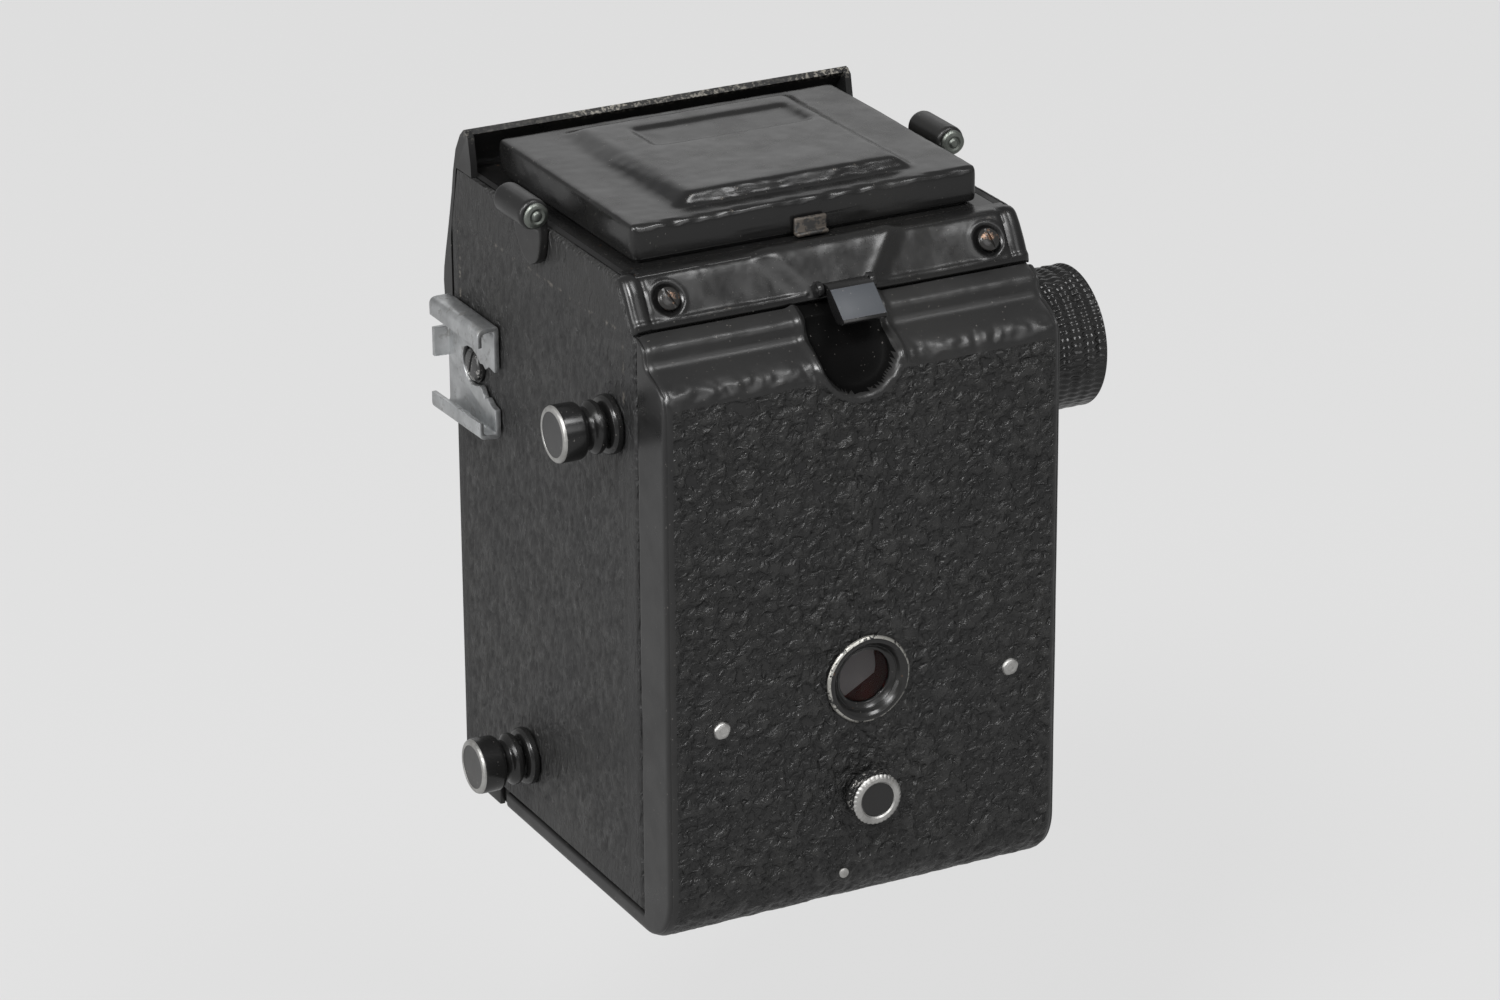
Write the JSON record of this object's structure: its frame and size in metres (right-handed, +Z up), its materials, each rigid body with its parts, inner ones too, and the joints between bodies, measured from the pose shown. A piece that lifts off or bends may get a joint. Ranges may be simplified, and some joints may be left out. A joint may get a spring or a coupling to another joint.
{
  "type": "twin-lens reflex box camera",
  "caption": "Moulded black box camera for roll film with two stacked lenses in meshing focusing rings, a folding waist-level hood, an L-shaped loading door and pull knobs.",
  "frame": {"origin": "on the flat base plane, under the middle of the moulded body's width and depth", "axes": "+Z up, the lenses look towards -Y, the loading door faces +Y, the winding knob is on -X and the two pull knobs and the accessory shoe are on +X"},
  "size_m": [0.103, 0.1021, 0.1281],
  "materials": {
    "aged_screw": "blackened brass with bare slots",
    "bakelite": "moulded black phenolic with a pebbled leather grain, smooth on the edges",
    "black_alloy": "black lacquer on aluminium alloy, worn bright on the edges",
    "black_paint": "semi-gloss black enamel on sheet metal, worn at the edges",
    "knob_black": "turned black knob, polished by use",
    "mirror_glass": "front-silvered",
    "nickel_steel": "dulled nickel plate with fine scratches",
    "optical_glass": "clear, uncoated",
    "red_glass": "deep red filter"
  },
  "bodies": {
    "camera_body": {"body_shell": "bakelite", "exposure_chamber": "bakelite", "front_panel": "black_alloy", "viewing_lens_tube": "black_alloy", "shutter_housing": "black_alloy", "shutter_face": "nickel_steel", "rear_lens": "optical_glass", "mirror": "mirror_glass", "focusing_screen": "optical_glass", "hood_base": "black_paint", "hood_screw_left": "aged_screw", "hood_screw_right": "aged_screw", "lid_hinge_pin": "nickel_steel", "strap_lug_left": "black_paint", "strap_lug_right": "black_paint", "strap_pin_left": "nickel_steel", "strap_pin_right": "nickel_steel", "accessory_shoe": "nickel_steel", "shoe_screw": "aged_screw", "tripod_bush": "nickel_steel", "upper_knob_bush": "knob_black", "lower_knob_bush": "knob_black", "winding_bush": "knob_black", "film_guide_upper": "nickel_steel", "film_guide_lower": "nickel_steel", "door_hinge_pin": "nickel_steel", "flash_socket": "nickel_steel"},
    "door": {"back_door": "bakelite", "pressure_plate": "black_paint", "pressure_spring_left": "nickel_steel", "pressure_spring_right": "nickel_steel", "door_rivet_left": "nickel_steel", "door_rivet_right": "nickel_steel", "door_rivet_base": "nickel_steel", "window_bezel": "black_paint", "window_glass": "red_glass"},
    "window_shutter": {"window_shutter_blade": "nickel_steel", "window_shutter_knob": "knob_black"},
    "latch": {"door_latch": "black_paint"},
    "winding": {"winding_knob": "knob_black", "winding_shaft": "nickel_steel", "take_up_spool": "knob_black"},
    "pull_upper": {"pull_knob_upper": "knob_black"},
    "pull_lower": {"pull_knob_lower": "knob_black"},
    "lid": {"hood_lid": "black_paint", "lid_catch": "nickel_steel"},
    "magnifier": {"magnifier_frame": "black_paint", "magnifier_glass": "optical_glass"},
    "wall_left": {"hood_wall_left": "black_paint"},
    "wall_right": {"hood_wall_right": "black_paint"},
    "wall_rear": {"hood_wall_rear": "black_paint"},
    "viewing_ring": {"viewing_focus_ring": "black_alloy", "viewing_front_glass": "optical_glass"},
    "taking_ring": {"taking_focus_ring": "black_alloy", "taking_front_glass": "optical_glass"},
    "cocking": {"cocking_lever": "nickel_steel"},
    "speed": {"speed_lever": "nickel_steel"},
    "aperture": {"aperture_lever": "nickel_steel"},
    "release": {"shutter_release_lever": "nickel_steel"},
    "self_timer": {"self_timer_lever": "nickel_steel"}
  },
  "joints": [
    {"name": "door_hinge", "type": "hinge", "parent": "camera_body", "child": "door", "pos_m": [0, -0.02715, 0.0024], "axis": [-1, 0, 0], "range_deg": [0, 80]},
    {"name": "window_shutter_turn", "type": "hinge", "parent": "door", "child": "window_shutter", "pos_m": [-0.0003, 0.042, 0.0229], "axis": [0, 1, 0], "range_deg": [-9, 33]},
    {"name": "latch_lift", "type": "hinge", "parent": "camera_body", "child": "latch", "pos_m": [-0.0009, 0.0324, 0.114], "axis": [1, 0, 0], "range_deg": [0, 30], "stiffness_Nm_per_rad": 0.002, "springref_deg": -22.92},
    {"name": "winding_turn", "type": "hinge", "parent": "camera_body", "child": "winding", "pos_m": [-0.047, 0.022, 0.0925], "axis": [1, 0, 0], "continuous": true},
    {"name": "pull_knob_upper_slide", "type": "slide", "parent": "camera_body", "child": "pull_upper", "axis": [1, 0, 0], "range_m": [0, 0.008], "stiffness_N_per_m": 150, "springref_m": -0.003},
    {"name": "pull_knob_lower_slide", "type": "slide", "parent": "camera_body", "child": "pull_lower", "axis": [1, 0, 0], "range_m": [0, 0.008], "stiffness_N_per_m": 150, "springref_m": -0.003},
    {"name": "lid_hinge", "type": "hinge", "parent": "camera_body", "child": "lid", "pos_m": [0, -0.0296, 0.123], "axis": [1, 0, 0], "range_deg": [0, 90]},
    {"name": "magnifier_hinge", "type": "hinge", "parent": "lid", "child": "magnifier", "pos_m": [0, 0.017, 0.1239], "axis": [1, 0, 0], "range_deg": [0, 90]},
    {"name": "wall_left_hinge", "type": "hinge", "parent": "camera_body", "child": "wall_left", "pos_m": [0.0305, 0, 0.1214], "axis": [0, 1, 0], "range_deg": [0, 90]},
    {"name": "wall_right_hinge", "type": "hinge", "parent": "camera_body", "child": "wall_right", "pos_m": [-0.0305, 0, 0.1214], "axis": [0, -1, 0], "range_deg": [0, 90]},
    {"name": "wall_rear_hinge", "type": "hinge", "parent": "camera_body", "child": "wall_rear", "pos_m": [0, 0.0182, 0.1214], "axis": [-1, 0, 0], "range_deg": [0, 90]},
    {"name": "viewing_focus_turn", "type": "hinge", "parent": "camera_body", "child": "viewing_ring", "pos_m": [0, -0.0525, 0.0874], "axis": [0, 1, 0], "range_deg": [0, 270]},
    {"name": "taking_focus_turn", "type": "hinge", "parent": "camera_body", "child": "taking_ring", "pos_m": [0, -0.0525, 0.0444], "axis": [0, 1, 0], "range_deg": [-270, 0]},
    {"name": "cocking_turn", "type": "hinge", "parent": "camera_body", "child": "cocking", "pos_m": [0, -0.0466, 0.0444], "axis": [0, 1, 0], "range_deg": [0, 40]},
    {"name": "speed_turn", "type": "hinge", "parent": "camera_body", "child": "speed", "pos_m": [0, -0.0475, 0.0444], "axis": [0, 1, 0], "range_deg": [0, 60]},
    {"name": "aperture_turn", "type": "hinge", "parent": "camera_body", "child": "aperture", "pos_m": [0, -0.0484, 0.0444], "axis": [0, 1, 0], "range_deg": [0, 50]},
    {"name": "release_press", "type": "hinge", "parent": "camera_body", "child": "release", "pos_m": [0.0315, -0.045, 0.028], "axis": [0, 1, 0], "range_deg": [0, 15], "stiffness_Nm_per_rad": 0.002, "springref_deg": -17.19},
    {"name": "self_timer_turn", "type": "hinge", "parent": "camera_body", "child": "self_timer", "pos_m": [-0.0305, -0.045, 0.025], "axis": [0, 1, 0], "range_deg": [0, 50]}
  ],
  "couplings": [
    {"joint": "magnifier_hinge", "follows": "lid_hinge", "ratio": 1},
    {"joint": "wall_left_hinge", "follows": "lid_hinge", "ratio": 1},
    {"joint": "wall_right_hinge", "follows": "lid_hinge", "ratio": 1},
    {"joint": "wall_rear_hinge", "follows": "lid_hinge", "ratio": 1},
    {"joint": "taking_focus_turn", "follows": "viewing_focus_turn", "ratio": -1}
  ]
}
